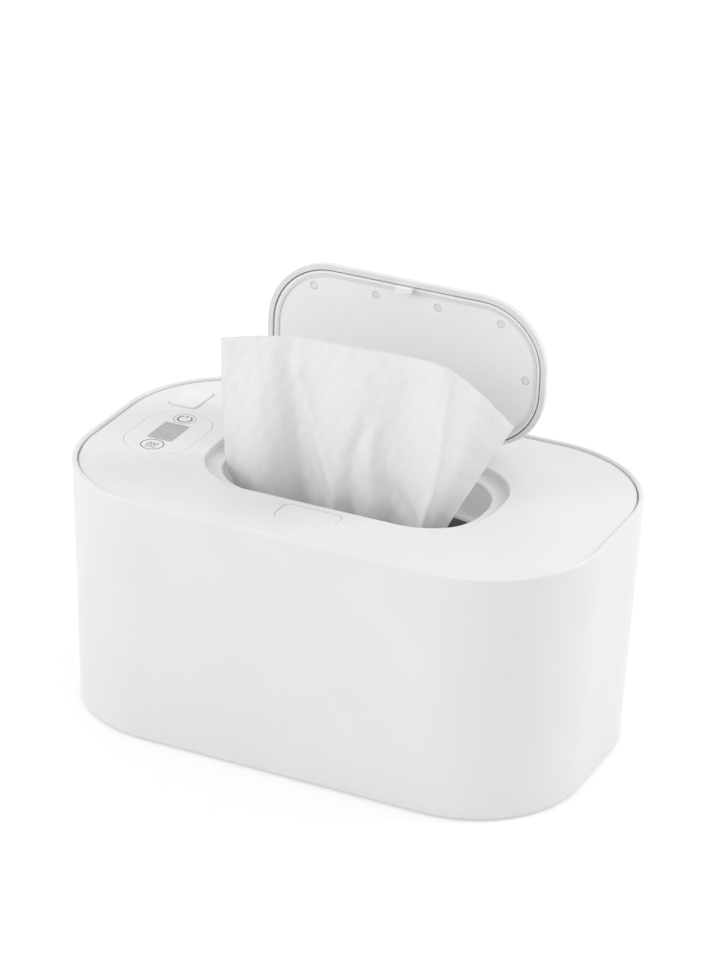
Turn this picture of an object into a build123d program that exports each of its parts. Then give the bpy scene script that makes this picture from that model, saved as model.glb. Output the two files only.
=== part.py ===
"""Baby wipe warmer: a tapered tub with a heated inner tank, a hinged refill cover that holds the
controls, and a small flip-up dispensing lid, shown open with a wipe pulled through.

Frame: millimetres, +Z up, origin on the rest plane under the middle of the tub.
+X runs along the tub, away from the controls, and +Y points to the hinge side at the back.
The lid is drawn closed and is then turned about its pin to its open rest position.
"""

import os
from math import cos, hypot, pi, radians, sin, sqrt

from build123d import *

# ---------------------------------------------------------------- overall size
LENGTH = 240.0  # tub at the rim, along X
DEPTH = 144.8  # tub at the rim, along Y
SHELL_HEIGHT = 113.0
RIM_CORNER = 54.3  # plan radius of the rim's corners
DRAFT_INSET = 3.5  # how much narrower each side is at the bottom edge
FOOT_PROUD = 1.0  # feet below the tub's bottom edge

# ---------------------------------------------------------------- walls and clearances
SHELL_WALL = 2.3
TANK_WALL = 1.8
SKIN = 2.0  # top skin of the refill cover
SKIRT_WALL = 1.6
PLATE = 1.6  # liner plate and recess floor
LID_SKIN = 1.6
RIM_GAP = 0.35  # cover edge to tub rim
SKIRT_INSET = 0.95  # skirt behind the cover's edge
LID_GAP = 0.3  # lid edge to its recess
SEAT_GAP = 0.15  # between faces that rest on each other
SLIDE_GAP = 0.25  # around a sliding button or catch
PIN_GAP = 0.05  # radial, hinge pin in its eyes
SHAFT_GAP = 0.1  # radial, screw in its hole
OUTER_FILLET = 1.0
INNER_FILLET = 0.8
KEY_FILLET = 0.3  # top edges of the two keys
OVER = 1.0  # how far a cut runs past the face that it opens
SINK = 0.1  # how far a joined form runs into its neighbour

# ---------------------------------------------------------------- heights
COVER_DROP = 1.0  # cover top below the rim
COVER_DEEP = 8.9  # cover top down to the liner plate
GASKET_HEIGHT = 1.05
GASKET_WIDTH = 2.4
FLANGE = 1.8  # tank flange
LEDGE = 2.0  # shelf inside the tub that carries the tank
TANK_FLOOR_Z = 16.0  # underside of the tank's floor
TANK_DRAFT = 3.8  # how much narrower the tank is at its floor
BASE_RECESS = 0.2  # base cover above the tub's bottom edge
BASE_PLATE = 2.4

# ---------------------------------------------------------------- tank, foam and heating film
LEDGE_WIDTH = 6.4
TANK_LEDGE_GAP = 0.5
FLANGE_GAP = 0.4
FLANGE_SEAT = 1.0  # flange left outside what sits in its cut-outs
TANK_FLOOR_FILLET = 4.0
FOAM = 4.6
FOAM_LOW = 18.0
FOAM_HIGH = 92.0
FOAM_GAP = 0.9
HEATER = 0.4
HEATER_LOW = 24.0
HEATER_HIGH = 60.0

# ---------------------------------------------------------------- dispensing opening and lid
RECESS_END = 54.0  # tub's end to the lid's recess
RECESS_DEPTH = 70.8
RECESS_FLAT = 4.4  # half the straight stretch at each end of the recess
RECESS_DROP = 4.0  # recess floor below the cover top
RECESS_FILLET = 0.8  # cover's top edges
FLOOR_WIDTH = 6.8  # recess floor round the hole
HOLE_FLAT = 2.5  # half the straight stretch at each end of the hole
HOLE_FILLET = 1.0
COLLAR_STEP = 0.5  # collar behind the hole's edge
COLLAR_WALL = 1.4
COLLAR_DEEP = 17.5  # recess floor down to the collar's inner lip
COLLAR_LIP = 4.0
COLLAR_FLOOR = 1.4
LID_RIM = 2.3  # width of the lid's rim wall
LINER_GAP = 0.7
LINER_LIFT = 0.3  # liner face above the rim's edge
LINER = 1.4
SEAL_STEP = 1.25  # seal inside the liner's edge
SEAL_WIDTH = 1.2
SEAL_GROOVE = 0.8
SEAL_SEAT = 0.05
LID_CROWN_FILLET = 1.2
STAKE_R = 1.6
STAKES = [(44.0, 24.0), (14.5, 25.5)]  # posts that are mirrored four ways
END_STAKE = (56.5, -0.5)

# ---------------------------------------------------------------- lid hinge
LID_PIVOT_BACK = 7.8  # pin behind the recess
LID_PIVOT_DROP = 6.0  # pin below the cover top
LID_PIN_R = 1.0
EYE_R = 2.8
ARM_X = 28.0
ARM_WIDTH = 6.0
ARM_SIDE_GAP = 1.0
ARM_R = 13.1  # mean radius of the curved arm about the pin
ARM_THICK = 2.8
ARM_SWING_GAP = 0.9
SPOKE_THICK = 2.5
SPOKE_SHORT = 0.4
ARM_START = 164.0  # degrees about the pin, lid closed
ARM_END = 290.0
LID_SWEEP_GAP = 0.2  # lid's rear edge to the path of the recess's edge
LID_OPEN = 90.0
EAR = 2.0
EAR_GAP = 0.4
INNER_EAR_X = 14.0
SPRING_WIRE = 0.7
SPRING_R = 1.9  # mean radius of the coil
SPRING_TURNS = 5
SPRING_PITCH = 1.15
SPRING_LEG = 6.0
SPRING_SIDE_GAP = 0.6

# ---------------------------------------------------------------- lid button, catch and striker
BUTTON_LENGTH = 26.8
BUTTON_DEPTH = 13.6
BUTTON_CORNER = 3.4
BUTTON_FRONT = 11.1  # button's middle in front of the recess
BUTTON_TRAVEL = 1.5
BUTTON_WALL = 1.4
BUTTON_FLANGE = 1.2
FLANGE_THICK = 1.0
BUTTON_SPRING_R = 1.4
BUTTON_SPRING_WALL = 0.6
CATCH_HALF = 6.5  # half width along X
CATCH_REACH = 7.5  # catch plate in front of the button's middle
RAIL_REACH = 9.5  # rails in front of the button's middle
RAIL_END = 4.0
RAIL_FOOT = 0.3
CATCH_THICK = 2.2
CATCH_TOP_GAP = 0.3
NOSE_HALF = 3.4
NOSE_THICK = 1.2
NOSE_LENGTH = 3.0
NOSE_BACK = 2.8  # nose behind the recess's front edge
STRIKER_BACK = 4.3  # rear face of the striker behind the recess's front edge
STRIKER_THICK = 1.3
STRIKER_LIP = 1.0
STRIKER_FOOT = 0.5
LIP_THICK = 1.0
HOOK_GAP = 0.2
STRIKER_GAP = 0.6
CAM_HALF = 3.0  # half width along X of the slanting rib
CAM_THICK = 2.6
CAM_BACK = 1.5  # rib's lower end behind the button's middle
CAM_RISE = 2.9  # height of the 45 degree stretch

# ---------------------------------------------------------------- refill cover hinge
COVER_PIVOT_INSET = 2.0  # pin in front of the tub's rear face
COVER_PIVOT_LOW = 0.6  # pin below the rim top
COVER_PIN_R = 0.8
KNUCKLE_R = 1.9
KNUCKLE_ENDS = [5.0, 22.0, 34.0]  # edges of the knuckles on one side of the middle
KNUCKLE_GAP = 0.3
NOTCH_DROP = 2.8

# ---------------------------------------------------------------- controls
PANEL_END = 15.0  # tub's end to the panel
PANEL_LENGTH = 30.5
PANEL_DEPTH = 45.5
PANEL_CORNER = 14.0
PANEL_THICK = 0.75
WINDOW_IN = (9.0, 14.5)  # window's low corner from the panel's
WINDOW_LENGTH = 12.0
WINDOW_DEPTH = 17.8
WINDOW_CORNER = 1.0
WINDOW_THICK = 1.2
TOUCH_R = 2.5
TOUCH_WALL = 0.8
TOUCH_OUT = 6.2  # keys beyond the window's ends
LIGHT_END = 15.5  # tub's end to the light button
LIGHT_BACK = 27.2  # tub's rear face to the light button
LIGHT_LENGTH = 13.5
LIGHT_DEPTH = 19.4
LIGHT_PANEL_GAP = 4.3
LIGHT_CORNER = 2.4
LIGHT_PROUD = 0.6
LIGHT_TRAVEL = 0.6
LIGHT_WALL = 1.2
LIGHT_SKIRT = 0.3  # light button's edge above the skin's underside
STEM_R = 1.9
STEM_GAP = 0.1
BOARD_MARGIN = (6.0, 3.5, 4.0, 3.5)  # board beyond the controls: low x, high x, low y, high y
BOARD_THICK = 1.6
BOARD_LIFT = 1.4  # above the liner plate
BOARD_CORNER = 3.0
BOARD_EDGE_GAP = 0.8
BOARD_POST_R = 2.0
BOARD_POST_IN = 4.0  # posts at the board's inner end, from its corners
BOARD_POSTS_OUT = [(8.0, 6.0), (10.0, 52.0)]  # other posts from the board's low corner
POST_FOOT = 0.3
SWITCH_SIZE = 6.0
SWITCH_HEIGHT = 2.0
PLUNGER_R = 1.5
PLUNGER = 0.4
DISPLAY_GAP = 0.05
DISPLAY_INSET = 0.6

# ---------------------------------------------------------------- fasteners, feet and base
BASE_SCREW_END = 12.5  # tub's end to the base screws
BASE_SCREW_Y = 22.0
COVER_SCREWS = [  # side of the tub, distance from that end, side, distance from that face
    (1, 24.0, 1, 32.4), (1, 24.0, -1, 32.4), (-1, 24.0, -1, 30.4), (-1, 43.0, 1, 16.9),
    (-1, 72.0, -1, 14.4), (1, 72.0, -1, 14.4), (1, 72.0, 1, 14.4),
]
SCREW_R = 1.0
SCREW_HEAD_R = 2.3
SCREW_HEAD = 1.0
SCREW_END_GAP = 1.0
BOSS_R = 3.0
BOSS_BORE = 6.0
BASE_SCREW_R = 1.25
BASE_HEAD_R = 2.6
BASE_HEAD = 1.4
BASE_BOSS_HEIGHT = 9.6
BASE_BOSS_RIB = 1.6
BASE_SCREW_LENGTH = 9.0
FOOT_R = 7.0
FOOT_IN = (34.0, 30.4)  # foot's middle from the tub's end and face
FOOT_SEAT = 1.2
FOOT_CHAMFER = 0.4

# ---------------------------------------------------------------- power parts
POWER_LENGTH = 68.0
POWER_DEPTH = 44.0
POWER_BACK = 10.4  # tub's rear face to the board
POWER_LIFT = 1.4
INLET_WIDTH = 9.0
INLET_DEEP = 11.0
INLET_HEIGHT = 9.2
INLET_NOSE_R = 4.0
INLET_BORE_R = 2.85
INLET_BORE_DEEP = 9.0
INLET_PIN_R = 1.0
INLET_PIN_SHORT = 1.0  # pin's tip behind the mouth
CAPACITORS = [(14.0, 14.0, 4.0, 7.0), (14.0, 32.0, 3.2, 6.0), (48.0, 34.0, 2.6, 5.0)]
CONTACT_IN = 1.7  # block's outer end inside the start of the tub's corner
CONTACT_LENGTH = 12.0
CONTACT_DEPTH = 4.2
CONTACT_PIN_R = 0.8
CONTACT_PAD_R = 1.2
CONTACTS = 4
MAGNET = (14.0, 3.0, 1.5)
MAGNET_IN = 13.7  # magnet's middle inside the start of the tub's corner
SENSOR_X = 60.0
SENSOR_R = 5.0
SENSOR_HEIGHT = 2.4
TAB = (9.0, 3.0, 0.8)  # thermal cut-out's tabs, as far out as from its middle

# ---------------------------------------------------------------- wipes
STACK_END = 28.0  # tub's end to the pack
STACK_SIDE = 23.4  # tub's face to the pack
STACK_HEIGHT = 54.0
STACK_CORNER = 6.0
STACK_ROUND = 3.0
WIPE_THICK = 1.0
WIPE_Y = -11.0
WIPE_GAP = 0.35  # wipe above the pack
# Folds across the wipe from its left edge to its crease: place as a share of the hole's half
# length, and side of the fold (-1 stands forward, 1 lies back)
WIPE_FOLDS = [(-1.04, 0), (-0.76, -0.6), (-0.56, 0), (-0.46, 1), (-0.36, 0), (-0.14, -1), (0.04, 0),
              (0.13, 1), (0.24, 0), (0.52, -0.8), (0.8, 0)]
# Sections from the pack to the top edge: height from the cover's top, width as a share, depth of
# the folds, and the flap's end as a share of the hole's half length and behind the wipe
WIPE_SECTIONS = [(-22.0, 0.84, 3.2, 0.76, 6.0), (-3.0, 0.92, 4.2, 0.83, 5.0),
                 (27.0, 0.98, 2.6, 1.08, 18.0), (64.0, 1.0, 1.2, 1.2, 28.0)]
WIPE_PACK_SECTION = (0.72, 2.4, 0.64, 4.0)
# Top edge as shares of the hole's half length and heights above the cover
WIPE_TOP = [(-1.04, 53.5), (-0.7, 58.5), (-0.3, 61.0), (0.8, 60.6), (1.13, 32.0), (1.6, -14.0)]

# ---------------------------------------------------------------- derived places
HALF_LENGTH = LENGTH / 2
HALF_DEPTH = DEPTH / 2
SHELL_LOW = FOOT_PROUD
RIM_Z = SHELL_LOW + SHELL_HEIGHT
COVER_Z = RIM_Z - COVER_DROP
SKIN_Z = COVER_Z - SKIN  # underside of the top skin
LINER_Z = COVER_Z - COVER_DEEP  # top of the cover's liner plate
LINER_LOW = LINER_Z - PLATE
GASKET_LOW = LINER_LOW - GASKET_HEIGHT
FLANGE_Z = GASKET_LOW - SEAT_GAP
LEDGE_Z = FLANGE_Z - FLANGE
FLOOR_Z = TANK_FLOOR_Z + TANK_WALL
LEDGE_INSET = SHELL_WALL + DRAFT_INSET * (RIM_Z - LEDGE_Z) / SHELL_HEIGHT
FLANGE_INSET = LEDGE_INSET + FLANGE_GAP
SEAT_Y = HALF_DEPTH - FLANGE_INSET - FLANGE_SEAT  # far side of what sits in the flange's cut-outs
CORNER_X = HALF_LENGTH - RIM_CORNER  # where the tub's rounded corners start
COVER_INSET = SHELL_WALL + RIM_GAP
SKIRT_OUT = COVER_INSET + SKIRT_INSET
RECESS_LENGTH = LENGTH - 2 * RECESS_END
RECESS_FRONT = -RECESS_DEPTH / 2
RECESS_CORNER = RECESS_DEPTH / 2 - RECESS_FLAT
RECESS_Z = COVER_Z - RECESS_DROP
RECESS_LOW = RECESS_Z - PLATE
HOLE_LENGTH = RECESS_LENGTH - 2 * FLOOR_WIDTH
HOLE_DEPTH = RECESS_DEPTH - 2 * FLOOR_WIDTH
HOLE_CORNER = HOLE_DEPTH / 2 - HOLE_FLAT
COLLAR_Z = RECESS_Z - COLLAR_DEEP
COLLAR_LOW = COLLAR_Z - COLLAR_FLOOR
COLLAR_OUT = HOLE_DEPTH / 2 + COLLAR_STEP + COLLAR_WALL
LID_PIVOT_Y = RECESS_DEPTH / 2 + LID_PIVOT_BACK
LID_PIVOT_Z = COVER_Z - LID_PIVOT_DROP
ARM_INNER = ARM_R - ARM_THICK / 2
ARM_OUTER = ARM_R + ARM_THICK / 2
COVER_PIVOT_Y = HALF_DEPTH - COVER_PIVOT_INSET
COVER_PIVOT_Z = RIM_Z - COVER_PIVOT_LOW
LID_LOW = RECESS_Z + 2 * SEAT_GAP
LID_LINER_LOW = LID_LOW + LINER_LIFT
LID_LINER_TOP = LID_LINER_LOW + LINER
LINER_INSET = LID_GAP + LID_RIM + LINER_GAP
BUTTON_Y = RECESS_FRONT - BUTTON_FRONT
BUTTON_UNDER = COVER_Z - BUTTON_WALL
CAM_Y = BUTTON_Y + CAM_BACK
CAM_Z = LINER_Z + BUTTON_TRAVEL + SLIDE_GAP
NOSE_Y = RECESS_FRONT + NOSE_BACK
STRIKER_Y = RECESS_FRONT + STRIKER_BACK
CATCH_TOP = RECESS_LOW - CATCH_TOP_GAP
CATCH_LOW = CATCH_TOP - CATCH_THICK
NOSE_LOW = CATCH_TOP - NOSE_THICK
STRIKER_LOW = NOSE_LOW - HOOK_GAP - LIP_THICK
LIGHT = (LIGHT_END - HALF_LENGTH, LIGHT_END + LIGHT_LENGTH - HALF_LENGTH,
         HALF_DEPTH - LIGHT_BACK - LIGHT_DEPTH, HALF_DEPTH - LIGHT_BACK)
PANEL = (PANEL_END - HALF_LENGTH, PANEL_END + PANEL_LENGTH - HALF_LENGTH,
         LIGHT[2] - LIGHT_PANEL_GAP - PANEL_DEPTH, LIGHT[2] - LIGHT_PANEL_GAP)
WINDOW = (PANEL[0] + WINDOW_IN[0], PANEL[0] + WINDOW_IN[0] + WINDOW_LENGTH,
          PANEL[2] + WINDOW_IN[1], PANEL[2] + WINDOW_IN[1] + WINDOW_DEPTH)
WINDOW_X = (WINDOW[0] + WINDOW[1]) / 2
TOUCH_Y = (WINDOW[2] - TOUCH_OUT, WINDOW[3] + TOUCH_OUT)
BOARD = (PANEL[0] - BOARD_MARGIN[0], PANEL[1] + BOARD_MARGIN[1],
         PANEL[2] - BOARD_MARGIN[2], LIGHT[3] + BOARD_MARGIN[3])
BOARD_Z = LINER_Z + BOARD_LIFT
BOARD_TOP = BOARD_Z + BOARD_THICK
SWITCH_TOP = BOARD_TOP + SWITCH_HEIGHT
BASE_SCREW_AT = (HALF_LENGTH - BASE_SCREW_END, BASE_SCREW_Y)
FOOT_AT = (HALF_LENGTH - FOOT_IN[0], HALF_DEPTH - FOOT_IN[1])
BASE_Z = SHELL_LOW + BASE_RECESS
BASE_TOP = BASE_Z + BASE_PLATE
POWER_BOARD = (-POWER_LENGTH / 2, POWER_LENGTH / 2, HALF_DEPTH - POWER_BACK - POWER_DEPTH,
               HALF_DEPTH - POWER_BACK)
POWER_Z = BASE_TOP + POWER_LIFT
POWER_TOP = POWER_Z + BOARD_THICK
INLET_Z = POWER_TOP + INLET_HEIGHT / 2
INLET_WALL_Y = HALF_DEPTH - DRAFT_INSET * (RIM_Z - INLET_Z) / SHELL_HEIGHT
STACK_LOW = FLOOR_Z + SEAT_GAP
STACK_TOP = STACK_LOW + STACK_HEIGHT


# ================================================================ helpers
def block(x0, x1, y0, y1, z0, z1):
    """Box between two corners."""
    return Pos((x0 + x1) / 2, (y0 + y1) / 2, (z0 + z1) / 2) * Box(x1 - x0, y1 - y0, z1 - z0)


def post(x, y, radius, z0, z1):
    """Upright cylinder."""
    return Pos(x, y, (z0 + z1) / 2) * Cylinder(radius, z1 - z0)


def rod(x0, x1, y, z, radius):
    """Cylinder along X."""
    return Pos((x0 + x1) / 2, y, z) * Rot(0, 90, 0) * Cylinder(radius, x1 - x0)


def bar(y0, y1, radius):
    """Cylinder along Y at the power inlet's middle."""
    return Pos(0, (y0 + y1) / 2, INLET_Z) * Rot(-90, 0, 0) * Cylinder(radius, y1 - y0)


def slab(length, depth, corner, z0, z1, x=0.0, y=0.0):
    """Prism of a rounded rectangle."""
    face = Pos(x, y, z0) * RectangleRounded(length, depth, corner)
    return extrude(face, z1 - z0, dir=(0, 0, 1))


def pad(area, corner, z0, z1, grow=0.0):
    """Rounded prism over a low-x, high-x, low-y, high-y area."""
    x0, x1, y0, y1 = area
    size = (x1 - x0 + 2 * grow, y1 - y0 + 2 * grow)
    return slab(*size, corner + grow, z0, z1, (x0 + x1) / 2, (y0 + y1) / 2)


def plan(inset, z0, z1):
    """Upright prism with the rim's plan, moved in by inset."""
    return slab(LENGTH - 2 * inset, DEPTH - 2 * inset, RIM_CORNER - inset, z0, z1)


def shell_face(z, inset):
    """Section of the tub's outside at height z, moved in by inset."""
    move = inset + DRAFT_INSET * (RIM_Z - z) / SHELL_HEIGHT
    return Pos(0, 0, z) * RectangleRounded(LENGTH - 2 * move, DEPTH - 2 * move, RIM_CORNER - move)


def shell_body(z0, z1, inset):
    """Solid of the tub's drafted outside between two heights."""
    return loft([shell_face(z0, inset), shell_face(z1, inset)], ruled=True)


def tank_face(z, offset):
    """Section of the tank's outside at height z, moved out by offset."""
    top = SHELL_WALL + LEDGE_WIDTH + TANK_LEDGE_GAP
    move = top + TANK_DRAFT * (LEDGE_Z - z) / (LEDGE_Z - TANK_FLOOR_Z) - offset
    return Pos(0, 0, z) * RectangleRounded(LENGTH - 2 * move, DEPTH - 2 * move, RIM_CORNER - move)


def tank_body(z0, z1, offset):
    """Solid of the tank's drafted outside between two heights."""
    return loft([tank_face(z0, offset), tank_face(z1, offset)], ruled=True)


def recess_space(grow, z0, z1):
    """The lid's recess, or its outside where grown."""
    size = (RECESS_LENGTH + 2 * grow, RECESS_DEPTH + 2 * grow, RECESS_CORNER + grow)
    return slab(*size, z0, z1)


def hole_space(grow, z0, z1):
    """The dispensing hole, or its outside where grown."""
    return slab(HOLE_LENGTH + 2 * grow, HOLE_DEPTH + 2 * grow, HOLE_CORNER + grow, z0, z1)


def mirrored(place):
    """The four mirrored places of one point."""
    x, y = place
    return [(x, y), (-x, y), (-x, -y), (x, -y)]


def opened(part):
    """Turns a closed lid piece about its pin to the open rest position."""
    back = Pos(0, LID_PIVOT_Y, LID_PIVOT_Z) * Rot(-LID_OPEN, 0, 0)
    return back * Pos(0, -LID_PIVOT_Y, -LID_PIVOT_Z) * part


def edges_at(part, z, gap=0.01):
    """Edges that lie flat at one height."""
    return [e for e in part.edges() if abs(e.bounding_box().min.Z - z) < gap
            and abs(e.bounding_box().max.Z - z) < gap]


def mouth_edges(part):
    """Edges of the opening in a part's highest face."""
    return part.faces().sort_by(Axis.Z)[-1].inner_wires()[0].edges()


# ================================================================ tub
def knuckle_spans(fixed):
    """X spans of the refill hinge's knuckles: the tub's if fixed, else the cover's."""
    mid, inner, outer = KNUCKLE_ENDS
    if fixed:
        return [(-outer, -inner), (-mid, mid), (inner, outer)]
    gap = KNUCKLE_GAP
    return [(-inner + gap, -mid - gap), (mid + gap, inner - gap)]


def outer_shell():
    """Drafted tub wall with its rim, inner shelf, base bosses and hinge knuckles."""
    body = shell_body(SHELL_LOW, RIM_Z, 0)
    body = fillet(edges_at(body, RIM_Z), OUTER_FILLET)
    body = fillet(edges_at(body, SHELL_LOW), INNER_FILLET)
    body -= shell_body(SHELL_LOW - OVER, RIM_Z + OVER, SHELL_WALL)
    body = fillet(mouth_edges(body), INNER_FILLET)
    shelf = shell_body(LEDGE_Z - LEDGE, LEDGE_Z, SHELL_WALL - SINK)
    shelf -= plan(SHELL_WALL + LEDGE_WIDTH, LEDGE_Z - LEDGE - OVER, LEDGE_Z + OVER)
    body += shelf + base_bosses()
    body -= bar(INLET_WALL_Y - 2 * SHELL_WALL, HALF_DEPTH, INLET_NOSE_R + SLIDE_GAP)
    return body - hinge_notch() + hinge_knuckles()


def base_bosses():
    """Screw bosses low on the end walls, each with a rib to the wall."""
    bosses = Part()
    low = BASE_TOP + SEAT_GAP
    high = low + BASE_BOSS_HEIGHT
    half = BASE_BOSS_RIB / 2
    for x, y in mirrored(BASE_SCREW_AT):
        side = 1 if x > 0 else -1
        x0, x1 = sorted((x, side * (HALF_LENGTH - DRAFT_INSET - SHELL_WALL / 2)))
        bosses += post(x, y, BOSS_R, low, high) + block(x0, x1, y - half, y + half, low, high)
        bosses -= post(x, y, BASE_SCREW_R + SHAFT_GAP, low - OVER, high - OVER)
    return bosses


def hinge_notch():
    """Gap in the rear rim for the refill hinge."""
    outer = KNUCKLE_ENDS[-1] + KNUCKLE_GAP
    return block(-outer, outer, HALF_DEPTH - 3 * SHELL_WALL, HALF_DEPTH + OVER, RIM_Z - NOTCH_DROP,
                 RIM_Z + OVER)


def hinge_knuckles():
    """The tub's three knuckles on the notch floor, bored for the pin."""
    barrel = Part()
    low = RIM_Z - NOTCH_DROP - SINK
    back = COVER_PIVOT_Y + KNUCKLE_R
    for x0, x1 in knuckle_spans(True):
        barrel += rod(x0, x1, COVER_PIVOT_Y, COVER_PIVOT_Z, KNUCKLE_R)
        barrel += block(x0, x1, HALF_DEPTH - SHELL_WALL, back, low, COVER_PIVOT_Z)
    outer = KNUCKLE_ENDS[-1] + OVER
    return barrel - rod(-outer, outer, COVER_PIVOT_Y, COVER_PIVOT_Z, COVER_PIN_R + PIN_GAP)


def cover_hinge_pin():
    """Long pin through the knuckles at the rear rim."""
    outer = KNUCKLE_ENDS[-1]
    return rod(-outer, outer, COVER_PIVOT_Y, COVER_PIVOT_Z, COVER_PIN_R)


def base_cover():
    """Bottom plate with foot pockets, screw wells and posts for the power board."""
    plate = shell_body(BASE_Z, BASE_TOP, SHELL_WALL + SLIDE_GAP)
    for x, y in mirrored(FOOT_AT):
        plate -= post(x, y, FOOT_R + SEAT_GAP, BASE_Z - OVER, BASE_Z + FOOT_SEAT)
    for x, y in mirrored(BASE_SCREW_AT):
        plate -= post(x, y, BASE_HEAD_R + SEAT_GAP, BASE_Z - OVER, BASE_Z + BASE_HEAD)
        plate -= post(x, y, BASE_SCREW_R + SHAFT_GAP, BASE_Z - OVER, BASE_TOP + OVER)
    x0, x1, y0, y1 = POWER_BOARD
    for x in (x0 + BOSS_R, x1 - BOSS_R):
        for y in (y0 + BOSS_R, y1 - BOSS_R):
            plate += post(x, y, BOSS_R, BASE_TOP - SINK, POWER_Z)
    return plate


def base_screws():
    """Four screws up through the base cover into the tub's bosses."""
    screws = Part()
    head = BASE_Z + BASE_HEAD
    for x, y in mirrored(BASE_SCREW_AT):
        screws += post(x, y, BASE_HEAD_R, BASE_Z + SEAT_GAP, head)
        screws += post(x, y, BASE_SCREW_R, head - SINK, head + BASE_SCREW_LENGTH)
    return screws


def rubber_feet():
    """Four round feet pressed into the base cover."""
    feet = Part()
    for x, y in mirrored(FOOT_AT):
        foot = post(x, y, FOOT_R, 0, BASE_Z + FOOT_SEAT)
        feet += chamfer(edges_at(foot, 0), FOOT_CHAMFER)
    return feet


# ================================================================ tank and heat
def inner_tank():
    """Open tank with a flange that rests on the tub's shelf."""
    body = tank_body(TANK_FLOOR_Z, FLANGE_Z, 0)
    body = fillet(edges_at(body, TANK_FLOOR_Z), TANK_FLOOR_FILLET)
    body += plan(FLANGE_INSET, LEDGE_Z, FLANGE_Z)
    inside = tank_body(FLOOR_Z, FLANGE_Z + OVER, -TANK_WALL)
    body -= fillet(edges_at(inside, FLOOR_Z), TANK_FLOOR_FILLET - TANK_WALL)
    body -= contact_place(LEDGE_Z - OVER, FLANGE_Z + OVER, SEAT_GAP)
    for side in (1, -1):
        body -= magnet_place(side, LEDGE_Z - OVER, FLANGE_Z + OVER, SEAT_GAP)
    return body


def tank_foam():
    """Foam sleeve round the tank."""
    sleeve = tank_body(FOAM_LOW, FOAM_HIGH, FOAM_GAP + FOAM)
    return sleeve - tank_body(FOAM_LOW - OVER, FOAM_HIGH + OVER, FOAM_GAP)


def heater_film():
    """Thin heating band round the lower part of the tank."""
    film = tank_body(HEATER_LOW, HEATER_HIGH, SEAT_GAP + HEATER)
    return film - tank_body(HEATER_LOW - OVER, HEATER_HIGH + OVER, SEAT_GAP)


def thermostat():
    """Round thermal cut-out under the tank floor, with a tab at each end."""
    high = TANK_FLOOR_Z - SEAT_GAP
    low = high - SENSOR_HEIGHT
    reach, width, thick = TAB
    body = post(SENSOR_X, 0, SENSOR_R, low, high)
    return body + block(SENSOR_X - reach, SENSOR_X + reach, -width / 2, width / 2, low, low + thick)


# ================================================================ power parts
def power_board():
    """Circuit board on the base cover's posts, with its larger components."""
    board = pad(POWER_BOARD, BOARD_CORNER, POWER_Z, POWER_TOP)
    for x, y, radius, height in CAPACITORS:
        board += post(POWER_BOARD[0] + x, POWER_BOARD[2] + y, radius, POWER_TOP - SINK, POWER_TOP + height)
    return board


def dc_inlet():
    """Power inlet: a square body on the board with a round nose through the rear wall."""
    inner = INLET_WALL_Y - SHELL_WALL - SEAT_GAP
    mouth = INLET_WALL_Y - SEAT_GAP
    half = INLET_WIDTH / 2
    body = block(-half, half, inner - INLET_DEEP, inner, POWER_TOP, POWER_TOP + INLET_HEIGHT)
    body += bar(inner - SINK, mouth, INLET_NOSE_R)
    body -= bar(mouth - INLET_BORE_DEEP, mouth, INLET_BORE_R)
    return body + bar(mouth - INLET_BORE_DEEP - SINK, mouth - INLET_PIN_SHORT, INLET_PIN_R)


def contact_place(z0, z1, grow):
    """Space of the contact block on the tub's shelf, behind the tank."""
    x0 = CONTACT_IN - CORNER_X
    return block(x0 - grow, x0 + CONTACT_LENGTH + grow, SEAT_Y - CONTACT_DEPTH - grow, SEAT_Y + grow,
                 z0, z1)


def contact_points():
    """Places of the contacts."""
    x0 = CONTACT_IN - CORNER_X
    step = CONTACT_LENGTH / CONTACTS
    return [(x0 + step * (i + 0.5), SEAT_Y - CONTACT_DEPTH / 2) for i in range(CONTACTS)]


def contact_block():
    """Block with spring pins that feed the cover's electronics."""
    body = contact_place(LEDGE_Z, FLANGE_Z, 0)
    for x, y in contact_points():
        body += post(x, y, CONTACT_PIN_R, FLANGE_Z - SINK, LINER_LOW - SEAT_GAP)
    return body


def contact_pads():
    """Pads in the cover's liner, over the spring pins."""
    pads = Part()
    for x, y in contact_points():
        pads += post(x, y, CONTACT_PAD_R, LINER_LOW, LINER_Z - SEAT_GAP)
    return pads


def magnet_place(side, z0, z1, grow):
    """Space of one bar magnet at the front."""
    length, depth, _ = MAGNET
    x = side * (CORNER_X - MAGNET_IN)
    reach = length / 2 + grow
    return block(x - reach, x + reach, -SEAT_Y - grow, -SEAT_Y + depth + grow, z0, z1)


def magnets(z0):
    """Pair of bar magnets at one height."""
    high = z0 + MAGNET[2]
    return Part() + magnet_place(1, z0, high, 0) + magnet_place(-1, z0, high, 0)


def shell_magnets():
    """Magnets on the tub's shelf."""
    return magnets(LEDGE_Z)


def cover_magnets():
    """Magnets in the cover's liner."""
    return magnets(LINER_LOW)


# ================================================================ refill cover
def arm_slots(y0, y1, z0, z1):
    """Slots that let the lid's two arms swing."""
    half = ARM_WIDTH / 2 + ARM_SIDE_GAP
    cut = Part()
    for x in (-ARM_X, ARM_X):
        cut += block(x - half, x + half, y0, y1, z0, z1)
    return cut


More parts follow.
